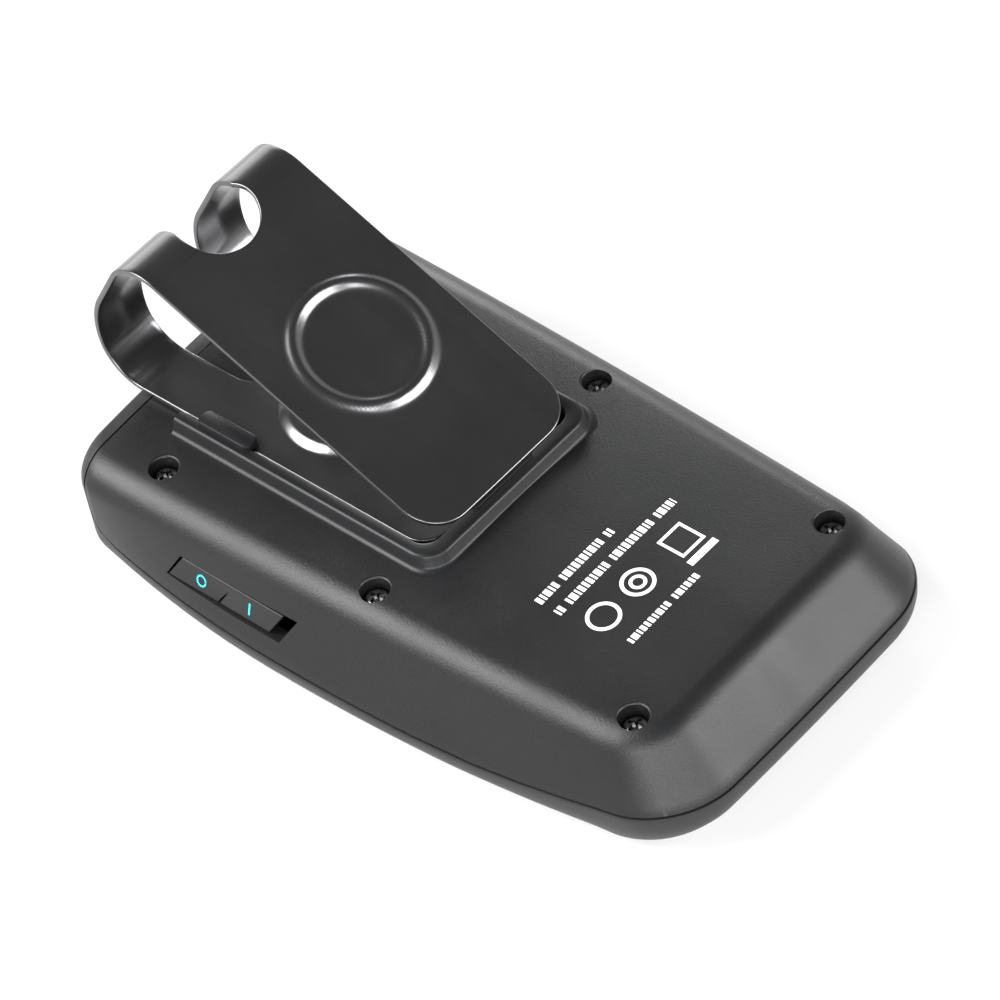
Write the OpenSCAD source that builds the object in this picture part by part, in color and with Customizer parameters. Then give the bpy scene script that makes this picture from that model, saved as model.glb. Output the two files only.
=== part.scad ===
// Visor clip speakerphone: a wedge ended handset body with a sprung sheet steel clip on its back.
// Frame: millimetres, origin at the middle of the flat front face, +X to the bevelled end,
// +Z out through the back cover, so the part rests on its front face at z = 0.

/* [Body] */
// Length the body is laid out on; over its bowed ends it is 1 mm shorter
body_len = 112; // [104:1:120]
// Height from the front face to the middle of the back
body_h = 19; // [17.5:0.1:21]
// Half width of the body at its widest, on the parting line
half_w = 33.4; // [31:0.1:36]
// Half width of the flat back, at the straight end
back_half_w = 24.9; // [23.5:0.1:26.5]
// Height of the parting line along the sides
part_z = 5; // [4.5:0.1:6]
// How much higher the parting line is at the bevelled end
part_rise = 5; // [3:0.1:6]
// Radius of the soft shoulder round the back
shoulder_r = 5; // [3:0.1:6]
// Curvature of the back across its width, drop per square millimetre
crown = 0.0016; // [0:0.0001:0.003]
// Wall thickness of both covers
wall = 1.9; // [1.5:0.1:2.4]
// Thickness of the front floor
floor_t = 1.8; // [1.5:0.1:2.2]

/* [Screws] */
// Half width between the screw holes of the first two pairs
screw_y = 22.8; // [22:0.1:24]
// Half width between the screw holes at the bevelled end
screw_y_end = 20.1; // [19:0.1:21]
// Radius of the screw recess
recess_r = 2.1; // [1.9:0.05:2.4]
// Depth of the screw recess below the back
recess_d = 2.9; // [2:0.1:3.5]

/* [Clip] */
// Sheet thickness of the clip
sheet = 0.8; // [0.6:0.05:1]
// Half width of the clip
clip_hw = 14.5; // [12:0.1:16]
// Angle of the upper leaf above the back
leaf_angle = 25.4; // [20:0.1:30]
// Radius of the round boss pressed in each leaf
boss_r = 9.2; // [7:0.1:11]
// Height of the pressed bosses
boss_h = 0.9; // [0.4:0.1:1.2]
// Half width of the notch between the two loops
notch_hw = 5.6; // [4:0.1:7]

/* [Controls] */
// Radius of the call button
call_r = 7.5; // [6:0.1:8.5]
// How far the front buttons sit below the front face
button_recess = 0.35; // [0.2:0.05:0.6]
// Clearance between a moving piece and the covers
slack = 0.35; // [0.3:0.05:0.5]
// Travel of the switch on the side
switch_travel = 2; // [1.5:0.1:2.5]

/* [Hidden] */
xl = -body_len / 2;
xr = body_len / 2;
xw = xl + 39;                       // where the body is widest
cut_x = xl + 3.1;                   // end plane of the back cover
screw_at = [[-42.5, screw_y], [-2.2, screw_y], [41.5, screw_y_end]];
floor_z = body_h - 0.1;             // flat the clip lies over
leaf_z = floor_z + 0.3;             // underside of the lower leaf
spk_x = 14;
spk_r = 19.5;
pcb_z = 7;
pcb_t = 1.2;
btn_x = -30;
mute_x = -44.5;
vol_y = 14.5;
$fn = 48;

// ---- body surface -------------------------------------------------------------------------
// half width of the widest outline, and of the flat back, along the length
function wide(x) = half_w - (x < xw ? 4.1 * pow((x - xw) / 39, 2) : 5.1 * pow((x - xw) / 62, 2));
function flat(x) = back_half_w - 3.9 * pow(max(0, x - xl) / 100, 1.6);
// height of the parting line
function part_at(x) = part_z + part_rise * pow(max(0, min(x, xr) - 15) / (xr - 15), 1.5);

// half an outline, from the middle of the bevelled end round to the middle of the straight end
function half_line(x0, x1, d, r0, r1, top) =
    let (w0 = function (x) (top ? flat(x) : wide(x)) - d,
         c1 = x1 - r1, c0 = x0 + r0, y1 = w0(c1) - r1, y0 = w0(c0) - r0)
    concat([for (i = [0:2]) [x1 + 0.2 * (1 - i * i / 9), y1 * i / 3]],
           [for (i = [0:6]) [c1 + r1 * cos(i * 13.6), y1 + r1 * sin(i * 13.6)]],
           [for (i = [0:8]) let (x = c1 - 1.5 + (c0 + 2.5 - c1 + 1.5) * i / 8) [x, w0(x)]],
           [for (i = [0:4]) [c0 + r0 * cos(98 + i * 20.5), y0 + r0 * sin(98 + i * 20.5)]],
           [[x0 - 0.12, y0 / 2], [x0 - 0.16, 0]]);
function full_line(h) = concat(h, [for (i = [len(h) - 2:-1:1]) [h[i][0], -h[i][1]]]);

// closed body: back outline T, widest outline B and front outline F, joined by a soft shoulder,
// a leaning wall, an upright band and a shallow rounded underside
module envelope(T, B, F, zt, zf, r, band0) {
    n = len(T);
    c = [(T[0][0] + T[25][0]) / 2, 0];
    function low(z, zb, y) = z - crown * y * y * max(0, (z - zb) / (zt - zb));
    function shoulder(j, k) =
        let (zb = part_at(B[j][0]), D = norm(B[j] - T[j]), V = zt - zb, rr = min(r, D),
             u = (B[j] - T[j]) / D, d = sqrt(D * D + pow(V - rr, 2)),
             phi = atan2(V - rr, D) + asin(min(1, rr / d)), a = phi * k / 5,
             p = T[j] + u * rr * sin(a))
        [p[0], p[1], low(zt - rr * (1 - cos(a)), zb, p[1])];
    function band(j) = part_at(B[j][0]) - band0;
    rings = concat(
        [for (f = [0.25, 0.5, 0.75]) [for (j = [0:n - 1]) let (p = c + (T[j] - c) * f)
            [p[0], p[1], low(zt, 0, p[1])]]],
        [for (k = [0:5]) [for (j = [0:n - 1]) shoulder(j, k)]],
        [[for (j = [0:n - 1]) [B[j][0], B[j][1], part_at(B[j][0])]]],
        [for (k = [0:3]) [for (j = [0:n - 1])
            let (p = B[j] + (F[j] - B[j]) * (1 - cos(k * 30))) [p[0], p[1], zf + (band(j) - zf) * (1 - sin(k * 30))]]]);
    m = len(rings);
    h = n / 2;
    pts = [for (q = rings) for (p = q) p];
    polyhedron(pts, concat(
        [for (k = [0:m - 2]) for (j = [0:n - 1]) let (j2 = (j + 1) % n) [k * n + j, k * n + j2, (k + 1) * n + j2]],
        [for (k = [0:m - 2]) for (j = [0:n - 1]) let (j2 = (j + 1) % n) [k * n + j, (k + 1) * n + j2, (k + 1) * n + j]],
        [[0, n - 1, 1]], [for (j = [1:h - 2]) [j, n - j, n - j - 1]], [for (j = [1:h - 2]) [j, n - j - 1, j + 1]], [[h - 1, h + 1, h]],
        let (b = (m - 1) * n) concat([[b, b + 1, b + n - 1]], [for (j = [1:h - 2]) [b + j, b + n - j - 1, b + n - j]],
            [for (j = [1:h - 2]) [b + j, b + j + 1, b + n - j - 1]], [[b + h - 1, b + h, b + h + 1]])), convexity = 4);
}
module outer_body() {
    envelope(full_line(half_line(xl + 1.2, xr - 11.5, 0, 4, 5, true)), full_line(half_line(xl, xr - 1.4, 0, 5, 12.4, false)),
             full_line(half_line(xl + 4, xr - 12.2, 4, 4, 8, false)), body_h, 0, shoulder_r, 0.5);
}
module inner_body() {
    envelope(full_line(half_line(xl + 4.8, xr - 12.6, 1.1, 3, 4.4, true)), full_line(half_line(xl + 4.3, xr - 3.8, wall + 0.1, 4, 10.8, false)),
             full_line(half_line(xl + 5.2, xr - 13.4, 5.4, 3.5, 7, false)), body_h - wall, floor_t, shoulder_r - 1.2, 0.2);
}
// the part of space that belongs to the back cover; gx and gz move its edges
module back_side(gx, gz) {
    x0 = cut_x - gx;
    translate([0, 60, 0]) rotate([90, 0, 0]) linear_extrude(120)
        polygon(concat([[x0, 40], [x0, 10], [x0 + 0.5, 7.9], [x0 + 2, 6.2], [x0 + 5, part_z + 0.6 + gz]],
                       [[10, part_z + 0.45 + gz]],
                       [for (x = [20, 28, 36, 43, 50]) [x, part_at(x) + 0.45 + gz]],
                       [[xr + 6, part_at(xr) + 1 + gz], [xr + 6, 40]]));
}
module at_screws() { for (p = screw_at) for (s = [-1, 1]) translate([p[0], s * p[1], 0]) children(); }
function back_z(y) = body_h - crown * y * y;
// rounded bar standing on z = 0
module bar(x0, x1, y0, y1, r, h) {
    linear_extrude(h) translate([x0, y0]) translate([r, r]) offset(r) square([x1 - x0 - 2 * r, y1 - y0 - 2 * r]);
}
// U shaped frame open at the straight end
module u_frame(x0, x1, yo, ro, x2, yi, ri, z0, z1) {
    difference() {
        translate([0, 0, z0]) linear_extrude(z1 - z0) union() {
            translate([x0, -yo]) square([x1 - x0 - ro, 2 * yo]);
            translate([x1 - ro - 1, -yo + ro]) square([ro + 1, 2 * yo - 2 * ro]);
            for (s = [-1, 1]) translate([x1 - ro, s * (yo - ro)]) circle(ro);
        }
        translate([0, 0, z0 - 1]) linear_extrude(z1 - z0 + 2) union() {
            translate([x0 - 1, -yi]) square([x2 - x0 + 1 - ri, 2 * yi]);
            translate([x2 - ri - 1, -yi + ri]) square([ri + 1, 2 * yi - 2 * ri]);
            for (s = [-1, 1]) translate([x2 - ri, s * (yi - ri)]) circle(ri);
        }
    }
}

// ---- switch on the near side ---------------------------------------------------------------
sw_x = -25.07;                      // middle of the knob at rest
sw_z = 10.15;
sw_y = -31.05;                      // wall surface at the slot
sw_tilt = 68;                       // lean of the wall there
// slanted bar through the wall: x0, x1 at mid height, hz half height
module slanted(x0, x1, hz, y0, y1) {
    s = 0.676 * hz;
    translate([0, y1, 0]) rotate([90, 0, 0]) linear_extrude(y1 - y0)
        polygon([[x0 - s, sw_z - hz], [x1 - s, sw_z - hz], [x1 + s, sw_z + hz], [x0 + s, sw_z + hz]]);
}
knob_l = 19.4;
knob_hz = 1.65;

module back_cover() color([0.12, 0.12, 0.13]) {
    y_in = clip_hw + 0.4;
    difference() {
        union() {
            difference() {
                intersection() { outer_body(); back_side(0, 0); }
                inner_body();
            }
            at_screws() translate([0, 0, 13.1]) cylinder(h = 3.6, r = 3.3);
            // pad round the clip: a low step and a narrow wall on it
            u_frame(-45.7, 4, 17.3, 4.2, -0.9, 13.4, 3, 17.6, 19.45);
            u_frame(-45.7, 3.1, 16.1, 3.6, 0.9, y_in, 2.6, 17.6, 20.8);
            // tabs over the lower leaf, and a lip over its end
            for (s = [-1, 1]) translate([-42.4, s < 0 ? -15.6 : 12.9, leaf_z + sheet + slack]) cube([10, 2.7, 1]);
            translate([-0.2, -6, leaf_z + sheet + slack]) cube([2, 12, 0.7]);
        }
        // flat under the lower leaf
        translate([-60, -y_in, floor_z]) cube([60.9, 2 * y_in, leaf_z + sheet + slack - floor_z]);
        // screw recess and clearance hole
        at_screws() { translate([0, 0, body_h - 0.8 - recess_d]) cylinder(h = 8, r = recess_r); cylinder(h = 30, r = 1.15); }
        // slot of the side switch
        slanted(sw_x - knob_l / 2 - 0.4, sw_x + knob_l / 2 + switch_travel + 0.4, 2, -40, -26);
        // charging socket
        translate([-60, -4.3, 7.9]) cube([9, 8.6, 3.4]);
    }
}
module front_cover() color([0.1, 0.1, 0.11]) {
    difference() {
        union() {
            difference() { outer_body(); inner_body(); back_side(0.15, -0.3); }
            at_screws() translate([0, 0, 1.5]) cylinder(h = 11.5, r = 2.7);
            for (p = [[-48.3, 16], [-13, 19.5]]) for (s = [-1, 1]) translate([p[0], s * p[1], 1.5]) cylinder(h = 5.45, r = 2.2);
        }
        at_screws() translate([0, 0, 4]) cylinder(h = 12, r = 1.05);
        for (p = [[-48.3, 16], [-13, 19.5]]) for (s = [-1, 1]) translate([p[0], s * p[1], 3]) cylinder(h = 5, r = 0.85);
        // speaker opening with its seat
        translate([spk_x, 0, -1]) { cylinder(h = 6, r = spk_r, $fn = 96); cylinder(h = 2, r = spk_r + 2.9, $fn = 96); }
        translate([btn_x, 0, -1]) cylinder(h = 6, r = call_r + slack, $fn = 72);
        for (s = [-1, 1]) translate([btn_x, s * vol_y, -1]) pill(11 + 2 * slack, 6.4 + 2 * slack, 6);
        translate([mute_x, 0, -1]) cylinder(h = 6, r = 3.4 + slack);
        translate([mute_x, 9, -1]) cylinder(h = 6, r = 1.25);
        translate([mute_x, -9, -1]) cylinder(h = 6, r = 0.6);
        translate([-60, -4.3, 7.9]) cube([9, 8.6, 3.4]);
        // room under the clip as it slides off
        translate([-60, -clip_hw - 0.5, floor_z - 0.15]) cube([8, 2 * clip_hw + 1, 3]);
    }
}
// pill shaped bar, long side on X
module pill(l, w, h) {
    for (s = [-1, 1]) translate([s * (l - w) / 2, 0, 0]) cylinder(h = h, r = w / 2);
    translate([-(l - w) / 2, -w / 2, 0]) cube([l - w, w, h]);
}
module grille_ring() color([0.55, 0.56, 0.58]) translate([spk_x, 0, 0.3]) difference() {
    union() { cylinder(h = 0.7, r = spk_r + 2.8, $fn = 96); }
    translate([0, 0, -1]) cylinder(h = 3, r = spk_r + 1.15, $fn = 96);
}
module speaker_grille() color([0.2, 0.2, 0.21]) translate([spk_x, 0, 0.4]) difference() {
    cylinder(h = 0.6, r = spk_r + 1.1, $fn = 96);
    for (k = [0:5]) for (i = [0:max(0, 6 * k - 1)]) rotate([0, 0, k == 0 ? 0 : 60 * i / k]) translate([3.3 * k, 0, -1]) cylinder(h = 3, r = 0.9, $fn = 16);
}
module round_button(r) {
    translate([0, 0, button_recess]) cylinder(h = 2.6, r = r, $fn = 72);
    translate([0, 0, floor_t + slack]) cylinder(h = 0.8, r = r + 1, $fn = 72);
}
module call_button() color([0.16, 0.45, 0.3]) translate([btn_x, 0, 0]) round_button(call_r);
module mute_button() color([0.2, 0.2, 0.22]) translate([mute_x, 0, 0]) round_button(3.4);
module pill_button() {
    translate([0, 0, button_recess]) pill(11, 6.4, 2.6);
    translate([0, 0, floor_t + slack]) pill(12.8, 8.2, 0.8);
}
module volume_up_button() color([0.2, 0.2, 0.22]) translate([btn_x, vol_y, 0]) pill_button();
module volume_down_button() color([0.2, 0.2, 0.22]) translate([btn_x, -vol_y, 0]) pill_button();
module tact_switches() color([0.75, 0.75, 0.72]) {
    for (p = [[btn_x, 0], [btn_x, vol_y], [btn_x, -vol_y], [mute_x, 0]]) translate([p[0], p[1], 0]) {
        translate([-2.25, -2.25, 4.6]) cube([4.5, 4.5, pcb_z - 4.6]);
        translate([0, 0, 3.75]) cylinder(h = 1, r = 1.1);
    }
}
module switch_knob() color([0.14, 0.14, 0.15]) {
    difference() {
        slanted(sw_x - knob_l / 2, sw_x + knob_l / 2, knob_hz, -34, -28.2);
        // outer face follows the lean of the wall, a little below it
        translate([sw_x, sw_y + 0.3, sw_z]) rotate([sw_tilt - 90, 0, 0]) translate([-20, -8, -6]) cube([40, 8, 12]);
    }
    translate([sw_x - 1, -28.6, sw_z - 0.8]) cube([2, 3.2, 1.6]);
}
module slide_switch() color([0.7, 0.7, 0.7]) difference() {
    translate([sw_x - 5.2, -27.2, pcb_z + pcb_t]) cube([12.4, 4.4, 3.9]);
    translate([sw_x - 1.5, -28, sw_z - 1.2]) cube([2 + switch_travel + 1, 3.2, 2.4]);
}
module charge_socket() color([0.8, 0.8, 0.78]) difference() {
    translate([-53.9, -3.75, pcb_z + pcb_t]) cube([5.6, 7.5, 2.7]);
    translate([-55, -3.4, pcb_z + pcb_t + 0.35]) cube([5.4, 6.8, 2]);
}
module main_board() color([0.05, 0.3, 0.15]) difference() {
    translate([0, 0, pcb_z]) bar(-51.1, -10.2, -25.6, 25.6, 1.5, pcb_t);
    for (s = [-1, 1]) {
        translate([-42.5, s * screw_y, 0]) cylinder(h = 20, r = 3.2);
        translate([-45.7, s > 0 ? screw_y : -screw_y - 6, 0]) cube([6.4, 6, 20]);
        for (p = [[-48.3, 16], [-13, 19.5]]) translate([p[0], s * p[1], 0]) cylinder(h = 20, r = 0.9);
    }
}
module radio_module() color([0.75, 0.76, 0.78]) {
    translate([-40, 4, pcb_z + pcb_t]) cube([13, 11, 0.8]);
    translate([-39.3, 4.7, pcb_z + pcb_t + 0.8]) cube([9, 9.6, 1.5]);
    translate([-24, 6, pcb_z + pcb_t]) cube([6, 6, 1]);
    translate([-46, -8, pcb_z + pcb_t]) cube([4.5, 4.5, 0.9]);
}
module battery_pack() color([0.7, 0.72, 0.75]) translate([0, 0, 11.7]) {
    bar(-11, 37, -16, 16, 2.4, 4.5);
    translate([-13.2, -11, 0.6]) cube([2.3, 22, 3]);
}
module battery_pad() color([0.25, 0.25, 0.25]) translate([-6, -11, 16.25]) cube([38, 22, 0.6]);
module speaker_gasket() color([0.2, 0.2, 0.2]) translate([spk_x, 0, floor_t]) difference() {
    cylinder(h = 0.6, r = 22, $fn = 96);
    translate([0, 0, -1]) cylinder(h = 3, r = 19.6, $fn = 96);
}
module speaker_frame() color([0.3, 0.3, 0.32]) translate([spk_x, 0, floor_t + 0.6]) rotate_extrude($fn = 96)
    polygon([[19.7, 0], [22, 0], [22, 1], [20.4, 1], [13.6, 5], [13.6, 6], [6.6, 6], [6.6, 5.1], [12.6, 5.1], [19.2, 0.9], [19.7, 0.9]]);
module speaker_cone() color([0.1, 0.1, 0.1]) translate([spk_x, 0, floor_t + 0.6]) rotate_extrude($fn = 96)
    polygon([[0, 2.2], [3, 2.5], [5.4, 3.9], [6.3, 4.1], [17.2, 0.6], [18.2, 1], [19, 0.7], [19.2, 0.25], [18.2, 0.5], [17.2, 0.1], [6, 3.6], [3.4, 2.1], [0, 1.8]]);
module speaker_magnet() color([0.35, 0.35, 0.37]) translate([spk_x, 0, 0]) {
    difference() {
        union() { translate([0, 0, floor_t + 6.6]) cylinder(h = 1, r = 12.4, $fn = 72); translate([0, 0, floor_t + 7.6]) cylinder(h = 2, r = 11.4, $fn = 72); }
        cylinder(h = 10.2, r = 5.6, $fn = 72);
    }
    translate([0, 0, 7]) cylinder(h = 4, r = 4.6, $fn = 72);
}
module microphone() color([0.75, 0.72, 0.6]) translate([mute_x, -9, pcb_z - 1.5]) cylinder(h = 1.5, r = 2);
module microphone_boot() color([0.15, 0.15, 0.15]) translate([mute_x, -9, floor_t]) difference() {
    cylinder(h = pcb_z - 1.5 - floor_t, r = 2.4);
    translate([0, 0, -1]) cylinder(h = 9, r = 0.9);
}
module light_pipe() color([0.8, 0.85, 0.95]) translate([mute_x, 9, 0.35]) { cylinder(h = 5.6, r = 1.15); translate([0, 0, floor_t - 0.3]) cylinder(h = 0.8, r = 1.8); }
module indicator_led() color([0.95, 0.95, 0.85]) translate([mute_x - 1, 8.4, pcb_z - 0.8]) cube([2, 1.2, 0.8]);
// cross head screw pointing down, head top at z = 0
module cross_screw(hr, hh, r, l) {
    difference() {
        union() { translate([0, 0, -hh]) cylinder(h = hh, r = hr, $fn = 32); translate([0, 0, -hh - l]) cylinder(h = l + 0.1, r = r, $fn = 24); }
        for (a = [0, 90]) rotate([0, 0, a]) translate([-hr * 0.62, -0.25 * hr, -0.55 * hh]) cube([hr * 1.24, 0.5 * hr, hh]);
    }
}
module case_screws() color([0.3, 0.3, 0.32]) at_screws() translate([0, 0, body_h - 0.8 - recess_d + 1.5]) cross_screw(1.85, 1.5, 1, 10);
module board_screws() color([0.7, 0.7, 0.72])
    for (p = [[-48.3, 16], [-13, 19.5]]) for (s = [-1, 1]) translate([p[0], s * p[1], pcb_z + pcb_t + 1]) cross_screw(1.5, 1, 0.8, 4.4);

// ---- clip ----------------------------------------------------------------------------------
// side line of the outer face: lower leaf, lower bend, back, straight, top bend, upper leaf
bend_x = -54.5;                     // start of the lower bend
r1 = 6.6;
r2 = 16;
r3 = 7.6;
function right_of(h) = [sin(h), -cos(h)];
a0 = [bend_x, leaf_z];
c1 = a0 + r1 * right_of(180);
c2 = c1 - r1 * right_of(95) + r2 * right_of(95);
s0 = c2 - r2 * right_of(56);
s1 = s0 + 8.8 * [cos(56), sin(56)];
c3 = s1 + r3 * right_of(56);
l0 = c3 - r3 * right_of(-leaf_angle);  // start of the upper leaf
leaf_l = 51.8;
base_x = -48.5;                     // where the lower leaf ends and the bend strips begin
function bend_line(o) = concat(
    [[base_x, leaf_z + o]],
    [for (i = [0:8]) c1 - (r1 - o) * right_of(180 - i * 85 / 8)],
    [for (i = [1:5]) c2 - (r2 - o) * right_of(95 - i * 39 / 5)],
    [for (i = [0:9]) c3 - (r3 - o) * right_of(56 - i * (56 + leaf_angle) / 9)]);
module clip_bends() color([0.1, 0.1, 0.1]) for (s = [-1, 1])
    translate([0, s > 0 ? clip_hw : -notch_hw, 0]) rotate([90, 0, 0]) linear_extrude(clip_hw - notch_hw)
        polygon(concat(bend_line(0), [for (i = [len(bend_line(0)) - 1:-1:0]) bend_line(sheet)[i]]));
// flat leaf: long axis on X from x = 0 (bend end) to l, sheet from z = 0 to sheet
module leaf_plate(l, r) {
    linear_extrude(sheet) union() {
        translate([0, -clip_hw]) square([l - r, 2 * clip_hw]);
        translate([l - r - 1, -clip_hw + r]) square([r + 1, 2 * clip_hw - 2 * r]);
        for (s = [-1, 1]) translate([l - r, s * (clip_hw - r)]) circle(r);
    }
}
// round pressed boss: sloping rim and flat top, up from z = 0
module press(x, h) translate([x, 0, 0]) rotate_extrude($fn = 72)
    polygon([[0, h], [boss_r, h], [boss_r + 1.5, 0], [boss_r + 1.5, sheet], [boss_r + 1.1, sheet], [boss_r - 0.2, h + sheet], [0, h + sheet]]);
module pressed_leaf(l, r, bx, h) {
    difference() { leaf_plate(l, r); translate([bx, 0, -1]) cylinder(h = 4, r = boss_r + 1.4, $fn = 72); }
    press(bx, h);
}
module clip_base() color([0.12, 0.12, 0.12]) difference() {
    translate([base_x, 0, leaf_z]) pressed_leaf(0.5 - base_x, 4, -27 - base_x, boss_h);
    translate([-60, -notch_hw, leaf_z - 1]) cube([15.5, 2 * notch_hw, 4]);
    translate([-44.5, 0, leaf_z - 1]) cylinder(h = 4, r = notch_hw);
}
// bead pressed up round a flat middle
module bead(x) translate([x, 0, 0]) rotate_extrude($fn = 72)
    polygon([[boss_r - 1, 0], [boss_r + 0.3, boss_h - 0.2], [boss_r + 1.6, 0], [boss_r + 1.6, sheet], [boss_r + 0.9, boss_h + sheet - 0.3], [boss_r - 0.3, boss_h + sheet - 0.3], [boss_r - 1, sheet]]);
module clip_leaf() color([0.12, 0.12, 0.12])
    translate([l0[0], 0, l0[1]]) rotate([0, leaf_angle, 0]) translate([0, 0, -sheet]) difference() {
        union() {
            difference() { leaf_plate(leaf_l, 6); translate([leaf_l - 26.9, 0, -1]) difference() { cylinder(h = 4, r = boss_r + 1.5, $fn = 72); translate([0, 0, -1]) cylinder(h = 6, r = boss_r - 0.9, $fn = 72); } }
            translate([leaf_l - 26.9, 0, 0]) bead(0);
        }
        translate([-2.2, 0, -1]) cylinder(h = 4, r = 6.1, $fn = 48);
    }

back_cover();
front_cover();
grille_ring();
speaker_grille();
call_button();
volume_up_button();
volume_down_button();
mute_button();
tact_switches();
switch_knob();
slide_switch();
charge_socket();
main_board();
radio_module();
battery_pack();
battery_pad();
speaker_gasket();
speaker_frame();
speaker_cone();
speaker_magnet();
microphone();
microphone_boot();
light_pipe();
indicator_led();
case_screws();
board_screws();
clip_base();
clip_bends();
clip_leaf();
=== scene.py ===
# %% [markdown]
# # A visor clip speakerphone, lying on its front
# A hands-free speakerphone for a car is a flat wedge ended case, with a loudspeaker and keys on its
# front and a sprung steel clip on its back. Here the working model of one is dressed: every moving
# piece keeps its joint, and each visible skin is rebuilt as a fine surface.

# %% Load the working model
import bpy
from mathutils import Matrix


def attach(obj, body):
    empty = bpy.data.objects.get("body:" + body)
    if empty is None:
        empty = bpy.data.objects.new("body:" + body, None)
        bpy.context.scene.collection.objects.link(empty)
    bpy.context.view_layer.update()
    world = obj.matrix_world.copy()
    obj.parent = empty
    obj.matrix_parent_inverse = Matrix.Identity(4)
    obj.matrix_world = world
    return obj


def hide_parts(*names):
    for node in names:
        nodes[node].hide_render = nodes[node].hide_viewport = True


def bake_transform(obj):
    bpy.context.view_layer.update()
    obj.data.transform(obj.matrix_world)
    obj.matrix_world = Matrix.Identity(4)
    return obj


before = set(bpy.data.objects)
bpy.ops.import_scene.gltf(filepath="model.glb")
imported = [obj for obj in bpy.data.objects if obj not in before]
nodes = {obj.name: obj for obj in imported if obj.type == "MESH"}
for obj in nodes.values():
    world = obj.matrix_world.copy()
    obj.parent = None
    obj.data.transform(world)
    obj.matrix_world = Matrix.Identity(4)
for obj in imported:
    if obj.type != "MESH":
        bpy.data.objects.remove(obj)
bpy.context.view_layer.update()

# %% [markdown]
# ## Numbers and small helpers
# All lengths are millimetres, and one factor turns them to Blender's metres as a mesh is made. A
# surface is always a grid of points, with a quad between each four neighbours.

# %% Units and the grid helper
import math
import bmesh
import bpy
import numpy as np
from mathutils import Matrix, Vector
from mathutils.bvhtree import BVHTree
from mathutils.interpolate import poly_3d_calc

MM = 0.001
scene = bpy.context.scene


def grid_faces(rows, cols, wrap=False, start=0):
    """Quads between neighbours of a rows x cols grid stored row by row. Wrap joins the last column to
    the first, and start is the number of the grid's first point."""
    r, c = np.meshgrid(np.arange(rows - 1), np.arange(cols if wrap else cols - 1), indexing="ij")
    a, b = r * cols + c, r * cols + (c + 1) % cols
    return (np.stack([a, b, b + cols, a + cols], -1).reshape(-1, 4) + start).tolist()


# %% [markdown]
# A finished piece sits at the origin with its place in its mesh, and is one closed solid. Faces that
# meet at a blunt angle shade as one smooth surface, and a real corner stays sharp.

# %% Put a solid into the scene
def add_solid(name, points, faces, merge=1e-6, sharp=35, fill=True):
    """Makes a closed mesh object from points in millimetres and lists of point numbers."""
    mesh = bpy.data.meshes.new(name)
    mesh.from_pydata((np.asarray(points, float).reshape(-1, 3) * MM).tolist(), [], faces)
    obj = bpy.data.objects.new(name, mesh)
    scene.collection.objects.link(obj)
    tidy_mesh(obj, merge, fill)
    shade(obj, sharp)
    return obj


def tidy_mesh(obj, merge=1e-6, fill=True):
    """Merges doubled points, fills open seams and turns the faces outwards."""
    bm = bmesh.new()
    bm.from_mesh(obj.data)
    bmesh.ops.remove_doubles(bm, verts=bm.verts, dist=merge)
    if fill:
        bmesh.ops.holes_fill(bm, edges=[e for e in bm.edges if e.is_boundary], sides=0)
    bmesh.ops.recalc_face_normals(bm, faces=bm.faces)
    bm.to_mesh(obj.data)
    bm.free()


def shade(obj, sharp=35):
    """Smooth shading, kept sharp where two faces meet at more than this angle."""
    obj.data.polygons.foreach_set("use_smooth", np.ones(len(obj.data.polygons), bool))
    obj.data.set_sharp_from_angle(angle=math.radians(sharp))


# %% [markdown]
# Turned shapes, prisms and blocks serve mostly as cutters. Each is a stack of loops: a loop is a ring
# of points, and neighbouring loops are joined by quads.

# %% Loops, lathes, prisms and blocks
def stack(loops):
    """Points and faces of a closed body through a (k, n, 3) array of loops, capped at both ends."""
    k, n = loops.shape[:2]
    caps = [list(range(n)), list(range((k - 1) * n, k * n))]
    return loops.reshape(-1, 3), grid_faces(k, n, wrap=True) + caps


def lathe(profile, centre=(0, 0), steps=64):
    """Loops of a body of revolution about Z: each profile point is (radius, height)."""
    a = np.arange(steps) * 2 * np.pi / steps
    p = np.array(profile, float)
    r, z = np.maximum(p[:, :1], 1e-4), p[:, 1:]
    return np.stack([centre[0] + r * np.cos(a), centre[1] + r * np.sin(a), z + 0 * a], -1)


def prism(outline, y0, y1):
    """Loops of a prism: an outline of (x, z) points carried from y0 to y1."""
    p = np.array(outline, float)
    return np.stack([np.stack([p[:, 0], np.full(len(p), y), p[:, 1]], -1) for y in (y0, y1)])


def block(low, high):
    """Loops of a box between two corners."""
    (x0, y0, z0), (x1, y1, z1) = low, high
    return prism([[x0, z0], [x1, z0], [x1, z1], [x0, z1]], y0, y1)


# %% [markdown]
# Holes are made as a moulding tool makes them, with a core of the hole's shape. The result is put
# back in the mesh, so nothing is left to run.

# %% Cut with cores
def cut(target, loops_list, operation="DIFFERENCE"):
    """Cuts target with each stack of loops in turn, joins them to it, or keeps what is inside."""
    cores = [add_solid("core", *stack(loops)) for loops in loops_list]
    for core in cores:
        step = target.modifiers.new("cut", "BOOLEAN")
        step.solver, step.operation, step.object = "EXACT", operation, core
    shaped = target.evaluated_get(bpy.context.evaluated_depsgraph_get())
    target.data = bpy.data.meshes.new_from_object(shaped)
    target.modifiers.clear()
    for core in cores:
        bpy.data.objects.remove(core)


# %% [markdown]
# ## The case
# The case is a soft wedge. Seen from above it has two outlines: the wide one on the parting line, and
# the smaller one where the flat back begins. Between them lies a leaning wall with a soft shoulder,
# and below the parting line a shallow rounded underside runs in to the front face.

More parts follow.
